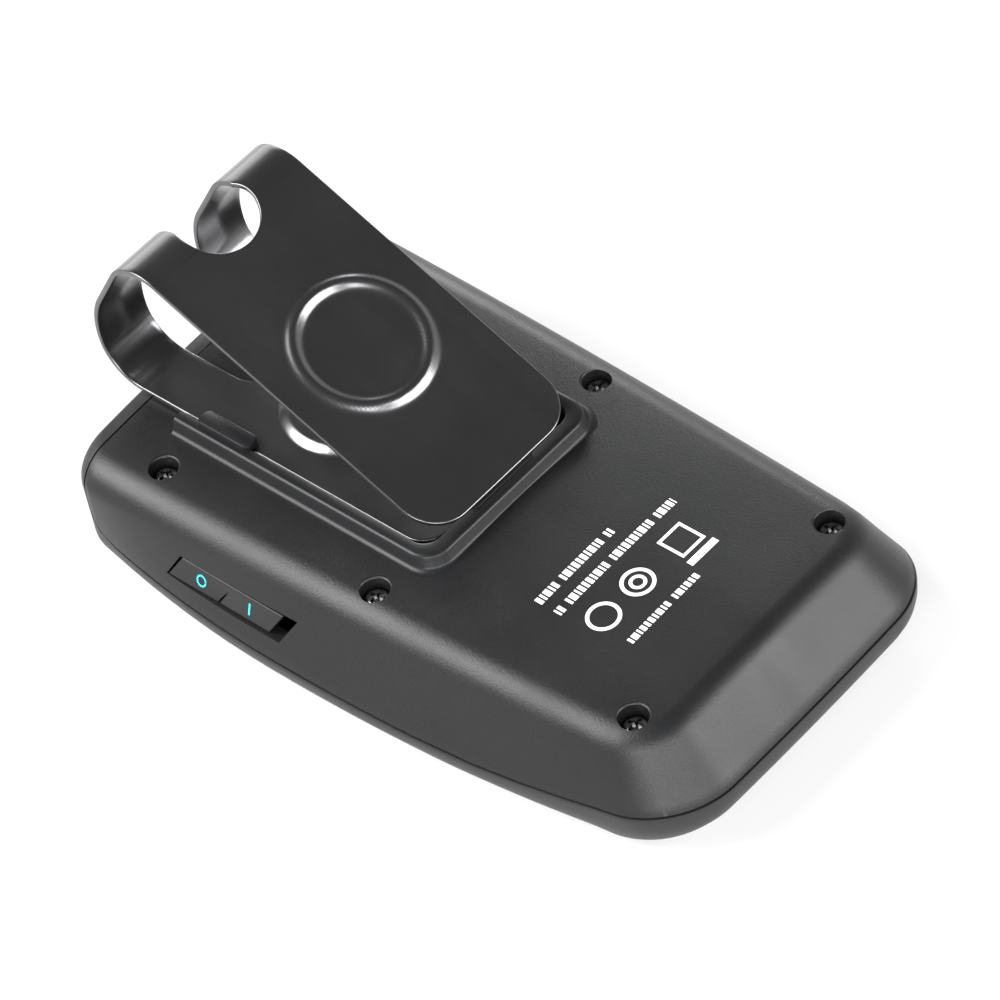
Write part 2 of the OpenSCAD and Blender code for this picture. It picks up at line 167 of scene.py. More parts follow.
# %% Outlines of the case
BODY_L, BODY_H, HALF_W, BACK_HALF_W = 112, 19, 33.4, 24.9
PART_Z, PART_RISE, SHOULDER, CROWN, WALL, FLOOR = 5, 5, 5, 0.0016, 1.9, 1.8
LEFT, RIGHT, WIDEST = -BODY_L / 2, BODY_L / 2, -17
LEFT_TAPER, LEFT_RUN, RIGHT_TAPER, RIGHT_RUN = 4.1, 39, 5.1, 62
BACK_TAPER, BACK_RUN, RISE_START = 3.9, 100, 15


def wide(x):
    """Half width on the parting line: a parabola each side of the widest place."""
    away = x - WIDEST
    left, right = LEFT_TAPER * (away / LEFT_RUN) ** 2, RIGHT_TAPER * (away / RIGHT_RUN) ** 2
    return HALF_W - np.where(away < 0, left, right)


def flat(x):
    """Half width of the flat back, which narrows slowly towards the bevelled end."""
    return BACK_HALF_W - BACK_TAPER * (np.maximum(0, x - LEFT) / BACK_RUN) ** 1.6


def part_at(x):
    """Height of the parting line, which climbs over the last third of the length."""
    climb = np.maximum(0, np.minimum(x, RIGHT) - RISE_START) / (RIGHT - RISE_START)
    return PART_Z + PART_RISE * climb ** 1.5


def outline(x0, x1, inset, r0, r1, top):
    """A closed (n, 2) outline, from the middle of the bevelled end round to the straight end and back:
    a bowed end, a round corner, a long side that follows wide() or flat(), a corner and a bowed end."""
    half = lambda x: (flat(x) if top else wide(x)) - inset
    c1, c0 = x1 - r1, x0 + r0
    y1, y0 = half(c1) - r1, half(c0) - r0
    t = np.linspace(0, 1, 14, endpoint=False)
    a, b = np.radians(np.linspace(0, 81.6, 22)), np.radians(np.linspace(98, 180, 14))
    x = np.linspace(c1 - 1.5, c0 + 2.5, 56)
    side = [np.stack([x1 + 0.2 * (1 - t * t), y1 * t], -1),
            np.stack([c1 + r1 * np.cos(a), y1 + r1 * np.sin(a)], -1), np.stack([x, half(x)], -1),
            np.stack([c0 + r0 * np.cos(b), y0 + r0 * np.sin(b)], -1),
            np.stack([x0 - 0.16 * (1 - t[::-1] ** 2), y0 * t[::-1]], -1)]
    line = np.concatenate(side)
    return np.concatenate([line, line[-2:0:-1] * [1, -1]])


# %% [markdown]
# The shoulder is an arc that leaves the flat back level and meets the leaning wall as a tangent, so
# the highlight along it has no edge. The drop of the crowned back fades out down the wall.

# %% The case surface
def case_loops(top, widest, front, z_top, z_front, radius, band, arc=12):
    """Loops from the middle of the back, over the shoulder, down the wall to the parting line, and
    round under to the front face. Every outline has the same number of points, joined in order."""
    zb = part_at(widest[:, 0])
    centre = np.array([(top[:, 0].max() + top[:, 0].min()) / 2, 0])
    lower = lambda z, base, y: z - CROWN * y * y * np.maximum(0, (z - base) / (z_top - base))
    loops = [(p, lower(z_top + 0 * p[:, 1], 0, p[:, 1])) for p in
             (centre + (top - centre) * f for f in np.linspace(0.1, 0.93, 9))]
    run = np.linalg.norm(widest - top, axis=1)
    way = (widest - top) / run[:, None]
    fall, r = z_top - zb, np.minimum(radius, run)
    lean = np.arctan2(fall - r, run) + np.arcsin(np.minimum(1, r / np.hypot(run, fall - r)))
    for k in np.linspace(0, 1, arc):
        p = top + way * (r * np.sin(lean * k))[:, None]
        z = z_top - r * (1 - np.cos(lean * k))
        loops.append((p, lower(z, zb, p[:, 1])))
    start, z0 = loops[-1]
    loops += [(start + (widest - start) * f, z0 + (zb - z0) * f) for f in np.linspace(0.2, 1, 5)]
    edge = zb - band
    for a in np.radians(np.linspace(0, 90, 10)):
        p = widest + (front - widest) * (1 - np.cos(a))
        loops.append((p, z_front + (edge - z_front) * (1 - np.sin(a))))
    return np.stack([np.concatenate([p, z[:, None]], -1) for p, z in loops])


def outer_case():
    """The outside of the case."""
    return case_loops(outline(LEFT + 1.2, RIGHT - 11.5, 0, 4, 5, True),
                      outline(LEFT, RIGHT - 1.4, 0, 5, 12.4, False),
                      outline(LEFT + 4, RIGHT - 12.2, 4, 4, 8, False), BODY_H, 0, SHOULDER, 0.5)


def inner_case():
    """The hollow inside it, one wall in."""
    return case_loops(outline(LEFT + 4.8, RIGHT - 12.6, 1.1, 3, 4.4, True),
                      outline(LEFT + 4.3, RIGHT - 3.8, WALL + 0.1, 4, 10.8, False),
                      outline(LEFT + 5.2, RIGHT - 13.4, 5.4, 3.5, 7, False),
                      BODY_H - WALL, FLOOR, SHOULDER - 1.2, 0.2, arc=6)


def back_region(gap_x, gap_z):
    """Loops of the space above the parting line; the end wall of the front cover stays outside it."""
    x0 = LEFT + 3.1 - gap_x
    x = np.array([10, 20, 28, 36, 43, 50])
    line = [[x0, 40], [x0, 10], [x0 + 0.5, 7.9], [x0 + 2, 6.2], [x0 + 5, PART_Z + 0.6 + gap_z]]
    line += np.stack([x, part_at(x) + 0.45 + gap_z], -1).tolist()
    return prism(line + [[RIGHT + 6, part_at(RIGHT) + 1 + gap_z], [RIGHT + 6, 40]], -60, 60)


print("case surface points:", outer_case().reshape(-1, 3).shape[0])

# %% [markdown]
# Cutting a hole leaves long thin faces round it, which would shade with a crease. So every corner
# that still lies on the first skin takes back the smooth normal the skin had there.

# %% Give a cut skin its smooth normals back
def keep_skin_normals(obj, loops, sharp=32):
    """Corners of obj that lie on the surface through loops get that surface's normal."""
    shade(obj, sharp)
    skin = add_solid("skin", *stack(loops), sharp=180)
    corners = [v.co.copy() for v in skin.data.vertices]
    normals = [v.normal.copy() for v in skin.data.vertices]
    polygons = [tuple(face.vertices) for face in skin.data.polygons]
    tree = BVHTree.FromPolygons(corners, polygons)
    own = [Vector(n.vector) for n in obj.data.corner_normals]
    for face in obj.data.polygons:
        for corner in face.loop_indices:
            point = obj.data.vertices[obj.data.loops[corner].vertex_index].co
            spot, _, index, away = tree.find_nearest(point)
            if away > 2e-6 or len(polygons[index]) > 4:
                continue
            around = polygons[index]
            weights = poly_3d_calc([corners[i] for i in around], spot)
            normal = sum((normals[i] * w for i, w in zip(around, weights)), Vector())
            if normal.normalized().dot(face.normal) > 0.9:
                own[corner] = normal.normalized()
    obj.data.normals_split_custom_set(own)
    bpy.data.objects.remove(skin)


# %% [markdown]
# ### Back cover
# The back cover is a thin shell, cut from the outside skin and its own hollow. Its screw recesses
# have a soft lip, because a moulding never has a knife edge. The slot on the near side takes the
# switch, and the shallow flat lets the clip slide.

# %% Back cover shell
SCREWS = [(x, s * y) for x, y in ((-42.5, 22.8), (-2.2, 22.8), (41.5, 20.1)) for s in (-1, 1)]
RECESS_R, RECESS_D, CLIP_HW, LEAF_Z, SHEET = 2.1, 2.9, 14.5, 19.2, 0.8
SEAT_Z = BODY_H - 0.1
INLET_LOW, INLET_HIGH = (-60, -4.3, 7.9), (-51, 4.3, 11.3)
SW_X, SW_Y, SW_Z, KNOB_L, TRAVEL = -25.07, -31.05, 10.15, 19.4, 2


def back_z(y):
    """Height of the crowned back at a distance y from the middle line."""
    return BODY_H - CROWN * y * y


def recess(x, y, lip=0.35):
    """Core of one screw recess: straight sides, flared by a quarter round at the mouth."""
    mouth = back_z(y)
    a = np.radians(np.linspace(0, 80, 6))
    flare = np.stack([RECESS_R + lip * (1 - np.cos(a)), mouth - lip * (1 - np.sin(a))], -1).tolist()
    return lathe([[0, mouth - RECESS_D], [RECESS_R, mouth - RECESS_D], *flare,
                  [RECESS_R + 1.2 * lip, mouth + 2], [0, mouth + 2]], (x, y), 40)


def slanted(x0, x1, half_h, y0, y1):
    """Loops of a bar with slanted ends through the near wall, as the switch slot and its knob are."""
    s = 0.676 * half_h
    return prism([[x0 - s, SW_Z - half_h], [x1 - s, SW_Z - half_h], [x1 + s, SW_Z + half_h],
                  [x0 + s, SW_Z + half_h]], y0, y1)


back = add_solid("back_shell", *stack(outer_case()))
cut(back, [back_region(0, 0)], "INTERSECT")
cut(back, [inner_case()])
cut(back, [block((-60, -CLIP_HW - 0.4, SEAT_Z), (0.9, CLIP_HW + 0.4, 22)), block(INLET_LOW, INLET_HIGH),
           slanted(SW_X - KNOB_L / 2 - 0.4, SW_X + KNOB_L / 2 + TRAVEL + 0.4, 2, -40, -26)])
print("back cover faces:", len(back.data.polygons))

# %% Screw posts and recesses
POST_R, POST_LOW, POST_TOP = 3.3, 13.1, 16.7
post = [[0, POST_LOW], [POST_R, POST_LOW], [POST_R, POST_TOP], [0, POST_TOP]]
cut(back, [lathe(post, place, 32) for place in SCREWS], "UNION")
cut(back, [recess(x, y) for x, y in SCREWS])
keep_skin_normals(back, outer_case())
print("back cover with six recesses, faces:", len(back.data.polygons))

# %% [markdown]
# ### Pad round the clip
# A low wall in the shape of a U holds the clip on three sides. It is one section: a crisp inner edge,
# a level top, a round shoulder and a hollow fillet. The wall is thicker across the end than along the
# sides, so every point of the section has its own U.

# %% Pad wall
PAD_LEFT, PAD_END, PAD_HW, PAD_CORNER = -45.7, 0.9, 14.9, 2.6


def u_line(end_x, half, corner):
    """A U of points, open towards the straight end of the case, with two round corners."""
    a = np.radians(np.linspace(-90, 0, 14))
    arc = np.stack([end_x - corner + corner * np.cos(a), -half + corner + corner * np.sin(a)], -1)
    x = np.linspace(PAD_LEFT, end_x - corner, 24, endpoint=False)
    side = np.concatenate([np.stack([x, np.full(24, -half)], -1), arc])
    middle = np.stack([np.full(9, end_x), np.linspace(-half + corner, half - corner, 11)[1:-1]], -1)
    return np.concatenate([side, middle, side[::-1] * [1, -1]])


def pad_section():
    """(share outwards, height) pairs: share 0 is the inner face and 1 the outer foot of the fillet."""
    top, foot = 20.8, BODY_H - 0.42
    a, b = np.radians(np.linspace(90, 20, 8)), np.radians(np.linspace(200, 268, 8))
    shoulder = np.stack([0.42 + 0.20 * np.cos(a), top - 0.62 + 0.62 * np.sin(a)], -1)
    fillet = np.stack([1.0 + 0.30 * np.cos(b), foot + 0.85 + 0.83 * np.sin(b)], -1)
    inner = [[0, 17.9], [0, top - 0.16], [0.02, top - 0.05], [0.06, top]]
    return np.concatenate([inner, shoulder, fillet, [[1.02, 17.9]]])


pad_loops = []
for share, z in pad_section():
    line = u_line(PAD_END + 3.9 * share, PAD_HW + 3.2 * share, PAD_CORNER + 2.0 * share)
    pad_loops.append(np.insert(line, 2, z, -1))
pad_loops = np.stack(pad_loops, 1)
pad_wall = add_solid("clip_pad_wall", *stack(pad_loops), sharp=50)
print("pad wall sections:", pad_loops.shape[0])

# %% [markdown]
# Two tabs over the lower leaf and a lip over its far end hold the clip down. They are rounded plates,
# drawn in at the top to break the edge.

# %% Tabs and lip
def plate(low, high, corner, edge=0.22):
    """Loops of a rounded plate between two corners, its upper edge rounded by edge."""
    (x0, y0, z0), (x1, y1, z1) = low, high
    a = np.radians(np.linspace(0, 360, 40, endpoint=False) + 4.5)
    sx, sy = np.sign(np.cos(a)), np.sign(np.sin(a))
    loops = []
    for inset, z in [(0, z0), (0, z1 - edge), (0.3 * edge, z1 - 0.3 * edge), (edge, z1)]:
        r = corner - inset
        x = (x0 + x1) / 2 + sx * ((x1 - x0) / 2 - corner) + r * np.cos(a)
        y = (y0 + y1) / 2 + sy * ((y1 - y0) / 2 - corner) + r * np.sin(a)
        loops.append(np.stack([x, y, np.full(40, z)], -1))
    return np.stack(loops)


TAB_Z = LEAF_Z + SHEET + 0.35
for side, word in ((-1, "near"), (1, "far")):
    y0, y1 = sorted((side * 12.9, side * 15.6))
    add_solid(f"clip_tab_{word}", *stack(plate((-42.4, y0, TAB_Z), (-32.4, y1, TAB_Z + 1), 1.1)))
add_solid("clip_end_lip", *stack(plate((-0.2, -6, TAB_Z), (1.8, 6, TAB_Z + 0.7), 0.7)))

# %% [markdown]
# ### Front cover
# The front cover lies underneath: a shallow tray with flared holes for the speaker, the keys, the
# microphone and the light. At the straight end it turns up into an end wall as high as the back.

# %% Front cover shell
SPEAKER_X, SPEAKER_R, KEY_X, MUTE_X, VOLUME_Y, SLACK = 14, 19.5, -30, -44.5, 14.5, 0.35
CALL_D, MUTE_D, PILL_L, PILL_W = 15, 6.8, 11, 6.4
KEYS = {"call_button": (CALL_D, CALL_D, (KEY_X, 0)), "mute_button": (MUTE_D, MUTE_D, (MUTE_X, 0)),
        "volume_down_button": (PILL_L, PILL_W, (KEY_X, -VOLUME_Y)),
        "volume_up_button": (PILL_L, PILL_W, (KEY_X, VOLUME_Y))}


def pill_loop(length, width, inset, z, centre, steps=72):
    """One loop: a circle of that width, pulled apart along X to that length, drawn in by inset."""
    a = (np.arange(steps) + 0.5) * 2 * np.pi / steps
    x = centre[0] + np.sign(np.cos(a)) * (length - width) / 2 + (width / 2 - inset) * np.cos(a)
    return np.stack([x, centre[1] + (width / 2 - inset) * np.sin(a), np.full(steps, z)], -1)


def key_hole(length, width, centre, lip=0.3):
    """Core of a key hole, flared at the front face."""
    rows = [(-lip, -1.0), (-lip, 0.0), (-0.4 * lip, 0.4 * lip), (0, lip), (0, 5)]
    return np.stack([pill_loop(length, width, inset, z, centre) for inset, z in rows])


front = add_solid("front_shell", *stack(outer_case()))
cut(front, [inner_case()])
cut(front, [back_region(0.3, -0.3)])
RING_SEAT_R, RING_SEAT_Z = 22.4, 1.0
speaker_hole = [[0, -1], [RING_SEAT_R, -1], [RING_SEAT_R, RING_SEAT_Z], [SPEAKER_R, RING_SEAT_Z],
                [SPEAKER_R, 5], [0, 5]]
cut(front, [lathe(speaker_hole, (SPEAKER_X, 0), 120), block(INLET_LOW, INLET_HIGH),
            block((-60, -CLIP_HW - 0.5, SEAT_Z - 0.15), (-52, CLIP_HW + 0.5, 22))])
key_holes = [key_hole(l + 2 * SLACK, w + 2 * SLACK, centre) for l, w, centre in KEYS.values()]
LIGHT_D, MIC_D, PORT_Y = 2.5, 1.2, 9
cut(front, [*key_holes, key_hole(LIGHT_D, LIGHT_D, (MUTE_X, PORT_Y), 0.15),
            key_hole(MIC_D, MIC_D, (MUTE_X, -PORT_Y), 0.2)])
keep_skin_normals(front, outer_case())
print("front cover faces:", len(front.data.polygons))

# %% [markdown]
# ## Keys, ring and screws
# A key is a cap on a flange that keeps it in the case. Its edge is rounded and its face is dished for
# a fingertip. The speaker ring is a turned strip with a fine chamfer on each side.

# %% Keys
FLOOR_Z, KEY_Z = FLOOR + SLACK, 0.35


def key(length, width, centre, dish=0.25, edge=0.45):
    """Loops of a key from the flange down over the rounded edge to the middle of its dished face."""
    rows = [(-1, FLOOR_Z + 0.8), (-1, FLOOR_Z), (0, FLOOR_Z)]
    turn = np.radians(np.linspace(0, 90, 7))
    rows += [(edge * (1 - math.cos(t)), KEY_Z + edge * (1 - math.sin(t))) for t in turn]
    reach = width / 2 - 0.05
    rows += [(f * reach, KEY_Z + dish * math.sin(0.5 * math.pi * (f * reach - edge) / (reach - edge)) ** 2)
             for f in np.linspace(0.3, 1, 8)]
    return np.stack([pill_loop(length, width, inset, z, centre) for inset, z in rows])


key_caps = {name: add_solid(name + "_cap", *stack(key(*size))) for name, size in KEYS.items()}
print("keys:", sorted(key_caps))

# %% Speaker ring
ring_out, ring_in = SPEAKER_R + 2.8, SPEAKER_R + 1.15
ring_profile = [[ring_in, 1.0], [ring_in, 0.55], [ring_in + 0.28, 0.3], [ring_out - 0.3, 0.3],
                [ring_out, 0.6], [ring_out, 1.0]]
ring_loops = lathe(ring_profile, (SPEAKER_X, 0), 144)
ring_rows, ring_cols = ring_loops.shape[:2]
ring_faces = (np.array(grid_faces(ring_rows + 1, ring_cols, wrap=True)) % (ring_rows * ring_cols)).tolist()
ring = add_solid("speaker_ring", ring_loops, ring_faces, sharp=25)
print("speaker ring points:", ring_rows * ring_cols)

# %% [markdown]
# The case screws sit deep in their recesses, so only a glint shows. Each has a domed head with a
# cross recess, on its shank.

# %% Case screws
HEAD_Z, HEAD_R, CROSS_L, CROSS_W = BODY_H - 0.8 - RECESS_D, 1.85, 1.15, 0.26


def pan_screw(x, y):
    """Loops of a screw: shank, flat under side, round edge and domed top."""
    a = np.radians(np.linspace(0, 90, 8))
    dome = np.stack([HEAD_R * np.cos(a) ** 0.7, HEAD_Z + 0.7 + 0.75 * np.sin(a)], -1).tolist()
    return lathe([[0, HEAD_Z - 10], [1, HEAD_Z - 9.6], [1, HEAD_Z], [HEAD_R, HEAD_Z], *dome], (x, y), 36)


screw_points, screw_faces = [], []
for x, y in SCREWS:
    p, f = stack(pan_screw(x, y))
    screw_faces += [[i + sum(map(len, screw_points)) for i in face] for face in f]
    screw_points.append(p)
screws = add_solid("case_screw_heads", np.concatenate(screw_points), screw_faces)
cut(screws, [block((x - a, y - b, HEAD_Z + 0.75), (x + a, y + b, HEAD_Z + 3))
             for x, y in SCREWS for a, b in ((CROSS_L, CROSS_W), (CROSS_W, CROSS_L))])
shade(screws)
print("case screws:", len(SCREWS), "faces:", len(screws.data.polygons))

# %% [markdown]
# ## The clip
# The clip is made as a press shop makes it: a flat blank with a rounded outline and a long notch,
# bent along a line. The blank has two coordinates, s along the strip and y across it. The depth into
# the sheet moves a point from the outer face to the inner one.

# %% The line the strip is bent along
BEND_X, R_LOW, R_BACK, RISE, R_TOP, SLOPE = -54.5, 6.6, 16, 8.8, 7.6, 25.4
TURNS = [(R_LOW, 180, 95), (R_BACK, 95, 56), (None, 56, 56), (R_TOP, 56, -SLOPE)]


def inward(heading):
    """Unit vectors into the bend for headings in degrees."""
    h = np.radians(heading)
    return np.stack([np.sin(h), -np.cos(h)], -1)


def along(heading):
    """Unit vector along the line at a heading in degrees."""
    return np.array([math.cos(math.radians(heading)), math.sin(math.radians(heading))])


def bend_stations():
    """Start distance, start point and heading of each stretch of the line, and the total length."""
    s, p, out = 0.0, np.array([BEND_X, LEAF_Z]), []
    for radius, h0, h1 in TURNS:
        out.append((s, p, radius, h0, h1))
        if radius is None:
            s, p = s + RISE, p + RISE * along(h0)
        else:
            s, p = s + radius * math.radians(h0 - h1), p + radius * (inward(h0) - inward(h1))
    return out, s, p


STATIONS, S_TOP, TOP_POINT = bend_stations()


def bent(s):
    """Point (x, z) on the outer face and heading, for distances s along the strip: level before the
    first bend, arcs and a straight up the back, and the sloping upper leaf after the last."""
    s = np.asarray(s, float)
    x, z, heading = BEND_X - s, LEAF_Z + 0 * s, 180 + 0 * s
    for start, p, radius, h0, h1 in STATIONS:
        if radius is None:
            q, h = p + (s - start)[..., None] * along(h0), h0 + 0 * s
        else:
            h = h0 - np.degrees((s - start) / radius)
            q = p + radius * (inward(h0) - inward(h))
        x, z, heading = (np.where(s > start, a, b) for a, b in ((q[..., 0], x), (q[..., 1], z), (h, heading)))
    past = (s - S_TOP)[..., None]
    leaf = TOP_POINT + past * along(-SLOPE)
    return np.where(past > 0, leaf, np.stack([x, z], -1)), np.where(s > S_TOP, -SLOPE, heading)


print("strip length round the bends, mm:", round(S_TOP, 2))

# %% [markdown]
# The lower leaf has a flat round step pressed in it, and the upper leaf a round bead. Both follow the
# distance to their centre by an S shaped ramp, so their highlights run smoothly.

# %% Pressed bosses and the formed sheet
LEAF_L, BOSS_R, BOSS_H = 51.8, 9.2, 0.9
BOSS_S, BEAD_S = BEND_X + 27, S_TOP + LEAF_L - 26.9


def ramp(t):
    """0 before 0, 1 after 1 and a smooth S between."""
    t = np.clip(t, 0, 1)
    return t * t * (3 - 2 * t)


def pressed(s, y):
    """Depth that the press moves the sheet: inwards on the lower leaf and outwards on the upper one."""
    low = BOSS_H * ramp((BOSS_R + 1.3 - np.hypot(s - BOSS_S, y)) / 1.7)
    ring = np.abs(np.hypot(s - BEAD_S, y) - (BOSS_R + 0.2)) / 1.55
    return np.where(s < S_TOP - 6, low, -0.62 * (1 - ramp(ring)))


def formed(flat_points, depth):
    """Bends blank points (s, y) into place, depth below the outer face, as (..., 3) points."""
    s, y = flat_points[..., 0], flat_points[..., 1]
    p, h = bent(s)
    q = p + inward(h) * (depth + pressed(s, y))[..., None]
    return np.stack([q[..., 0], y, q[..., 1]], -1)


# %% [markdown]
# Half of the blank is a grid: each row runs from the middle line, or from the notch, to the outer
# edge, and its ends are known for any inset. So the cut edge is rounded by drawing the outline in
# while going through the thickness. The other half is its mirror image.

# %% Rows of the half blank
NOTCH, END_R, LEAF_R, TOP_NOTCH, NOTCH_BACK, S_NOTCH = 5.6, 4.0, 6.0, 6.1, 2.2, -10
S_LOW, S_SEAM = BEND_X - 0.5, BEND_X + 48.5


def arc_rows(centre, radius, along, across, n=10, low=0):
    """(s, y) of points on a quarter round, as a function of the inset, for rows of the blank."""
    return [(lambda e, a=a: (centre[0] + along * (radius + across * e) * math.sin(a),
                             centre[1] + (radius + across * e) * math.cos(a)))
            for a in np.radians(np.linspace(low, 90, n))]


def outer_edge(s):
    """Outer end of a row at distance s, as a function of the inset."""
    return lambda e: (s, CLIP_HW - e)


def whole_rows(stations):
    """Rows from the middle line to the straight outer edge."""
    return [((lambda e, s=s: (s, 0.0)), outer_edge(s), False) for s in stations]


def tip_rows(corner):
    """Rows from the middle line to the points of a round corner."""
    return [((lambda e, row=row: (row(e)[0], 0.0)), row, False) for row in corner[1:]]


def leaf_rows():
    """Rows of the upper leaf from the bend to the tip: (inner end, outer end, inner end is cut)."""
    start = math.degrees(math.asin(NOTCH_BACK / TOP_NOTCH))
    notch = arc_rows((S_TOP - NOTCH_BACK, 0), TOP_NOTCH, 1, 1, 14, start)
    rows = [(row, outer_edge(S_TOP + 3.9 * k / 13), True) for k, row in enumerate(notch)]
    rows += whole_rows(np.linspace(S_TOP + 4.2, S_TOP + LEAF_L - LEAF_R, 100))
    return rows + tip_rows(arc_rows((S_TOP + LEAF_L - LEAF_R, CLIP_HW - LEAF_R), LEAF_R, 1, -1, 16))


def base_rows():
    """Rows of the lower leaf from the seam with the bends to its far end."""
    slit = np.linspace(S_SEAM, S_NOTCH, 6, endpoint=False)
    rows = [((lambda e, s=s: (s, NOTCH + e)), outer_edge(s), True) for s in slit]
    for k, row in enumerate(arc_rows((S_NOTCH, 0), NOTCH, -1, 1, 14)):
        rows.append((row, outer_edge(S_NOTCH - NOTCH * math.sin(math.radians(90 * k / 13))), True))
    rows += whole_rows(np.linspace(-16.2, S_LOW + END_R, 84))
    return rows + tip_rows(arc_rows((S_LOW + END_R, CLIP_HW - END_R), END_R, -1, -1, 12))


def strip_rows():
    """Rows of one bend strip, between the two seams; its notch edge widens into the round notch end."""
    s = np.linspace(S_SEAM, S_TOP, 130)
    keyhole = np.sqrt(np.maximum(0, TOP_NOTCH ** 2 - (s - S_TOP + NOTCH_BACK) ** 2))
    inner = np.where(s > S_TOP - NOTCH_BACK, keyhole, np.maximum(NOTCH, keyhole))
    return [((lambda e, a=a, b=b: (a, b + e)), outer_edge(a), True) for a, b in zip(s, inner)]


# %% Make a sheet piece from its rows
def sheet_piece(name, rows, cols, tip, edge=0.16):
    """The two faces of the sheet, the rounded cut edge between them, and the mirrored half."""
    v = np.linspace(0, 1, cols)[:, None]

    def rows_at(e):
        ends = np.array([(a(e), b(e)) for a, b, _ in rows])
        return ends[:, None, 0] + (ends[:, None, 1] - ends[:, None, 0]) * v

    def rim_at(e):
        g = rows_at(e)
        outer = np.concatenate([g[:, -1], g[-1, -2::-1]]) if tip else g[:, -1]
        return outer, g[: sum(cutting for _, _, cutting in rows), 0]

    a = np.radians(np.linspace(0, 90, 4))
    steps = [(edge * (1 - math.sin(t)), edge * (1 - math.cos(t))) for t in a]
    steps += [(e, SHEET - d) for e, d in reversed(steps)]
    points, faces = [], []

    def add(grid):
        faces.extend(grid_faces(*grid.shape[:2], start=sum(len(p) for p in points)))
        points.append(grid.reshape(-1, 3))

    for depth in (0.0, SHEET):
        add(formed(rows_at(edge), depth))
    for which in (0, 1):
        rim = np.stack([formed(rim_at(e)[which], d) for e, d in steps])
        if rim.shape[1] > 1:
            add(rim)
    half = np.concatenate(points)
    faces += [[i + len(half) for i in face] for face in faces]
    return add_solid(name, np.concatenate([half, half * [1, -1, 1]]), faces, merge=2e-6, sharp=40)


upper_leaf = sheet_piece("clip_upper_leaf", leaf_rows(), 32, True)
lower_leaf = sheet_piece("clip_lower_leaf", base_rows(), 32, True)
bend_strips = sheet_piece("clip_bend_strips", strip_rows(), 12, False)
print("clip faces:", [len(o.data.polygons) for o in (upper_leaf, lower_leaf, bend_strips)])

# %% [markdown]
# ## Slide switch
# The knob follows the lean of the wall and sits just under its surface. It is the working knob's own
# mesh, with its edges rounded and a fine groove across the middle.

# %% Knob
def copy_of(node, name):
    """A merged copy of a working piece's mesh, to be finished with modifiers."""
    obj = bpy.data.objects.new(name, nodes[node].data.copy())
    obj.data.materials.clear()
    scene.collection.objects.link(obj)
    bm = bmesh.new()
    bm.from_mesh(obj.data)
    bmesh.ops.remove_doubles(bm, verts=bm.verts, dist=1e-6)
    bmesh.ops.dissolve_limit(bm, angle_limit=math.radians(1), verts=bm.verts, edges=bm.edges)
    bm.to_mesh(obj.data)
    bm.free()
    return obj


def soften(obj, width, segments=3, angle=40):
    """Rounds the sharp edges of a piece."""
    bevel = obj.modifiers.new("soft edges", "BEVEL")
    bevel.width, bevel.segments, bevel.angle_limit = width * MM, segments, math.radians(angle)
    shade(obj, angle)


knob = copy_of("switch_knob", "switch_knob_cap")
cut(knob, [slanted(SW_X - 0.16, SW_X + 0.16, 2.2, -34, SW_Y + 0.62)])
soften(knob, 0.16)
print("knob faces before rounding:", len(knob.data.polygons))

# %% [markdown]
# ## Printed marks
# The back carries white printing and the switch two coloured marks. Each is a thin slab that follows
# the surface: bars of mixed length stand for small print, and plain shapes for symbols.

# %% Ink slabs
INK = 0.03


def ink_slabs(name, strokes, place):
    """Closed slabs from (k, n, 2) strips of flat points; place() lifts flat points onto the surface."""
    points, faces = [], []
    for strip in strokes:
        k, n = strip.shape[:2]
        first = sum(len(p) for p in points)
        low, high = place(strip, -INK), place(strip, INK)
        count = k * n
        faces += grid_faces(k, n, start=first) + grid_faces(k, n, start=first + count)
        edge = [i * n for i in range(k)] + [(k - 1) * n + j for j in range(1, n)]
        edge += [i * n + n - 1 for i in range(k - 2, -1, -1)] + list(range(n - 2, 0, -1))
        for a, b in zip(edge, edge[1:] + edge[:1]):
            faces.append([first + a, first + b, first + b + count, first + a + count])
        points += [low.reshape(-1, 3), high.reshape(-1, 3)]
    return add_solid(name, np.concatenate(points), faces, merge=1e-7, fill=False)


def bar(x0, x1, y0, y1, n=6):
    """A flat rectangular stroke as a grid that can follow a curved surface."""
    x, y = np.meshgrid([x0, x1], np.linspace(y0, y1, n), indexing="ij")
    return np.stack([x, y], -1)


def hoop(x, y, r, width, a0=0, a1=360, n=40):
    """A flat round stroke of that width, from angle a0 to a1 in degrees."""
    a = np.radians(np.linspace(a0, a1, n))
    ring = [np.stack([x + q * np.cos(a), y + q * np.sin(a)], -1) for q in (r - width / 2, r + width / 2)]
    return np.stack(ring)


def on_back(p, lift):
    """Flat (x, y) points on the crowned back."""
    return np.stack([p[..., 0], p[..., 1], back_z(p[..., 1]) + lift], -1)


# %% [markdown]
# Small print is rows of short strokes in a fixed uneven rhythm, which say nothing close up.

# %% Back print
def print_line(x, y0, y1, height, rhythm):
    """Small upright strokes and gaps along Y, between y0 and y1, each height tall across the line."""
    strokes, y, k = [], y0, 0
    while y < y1:
        width = rhythm[k % len(rhythm)]
        if width > 0:
            strokes.append(bar(x - height / 2, x + height / 2, y, min(y + width, y1), 2))
        y, k = y + abs(width) + 0.3, k + 1
    return strokes


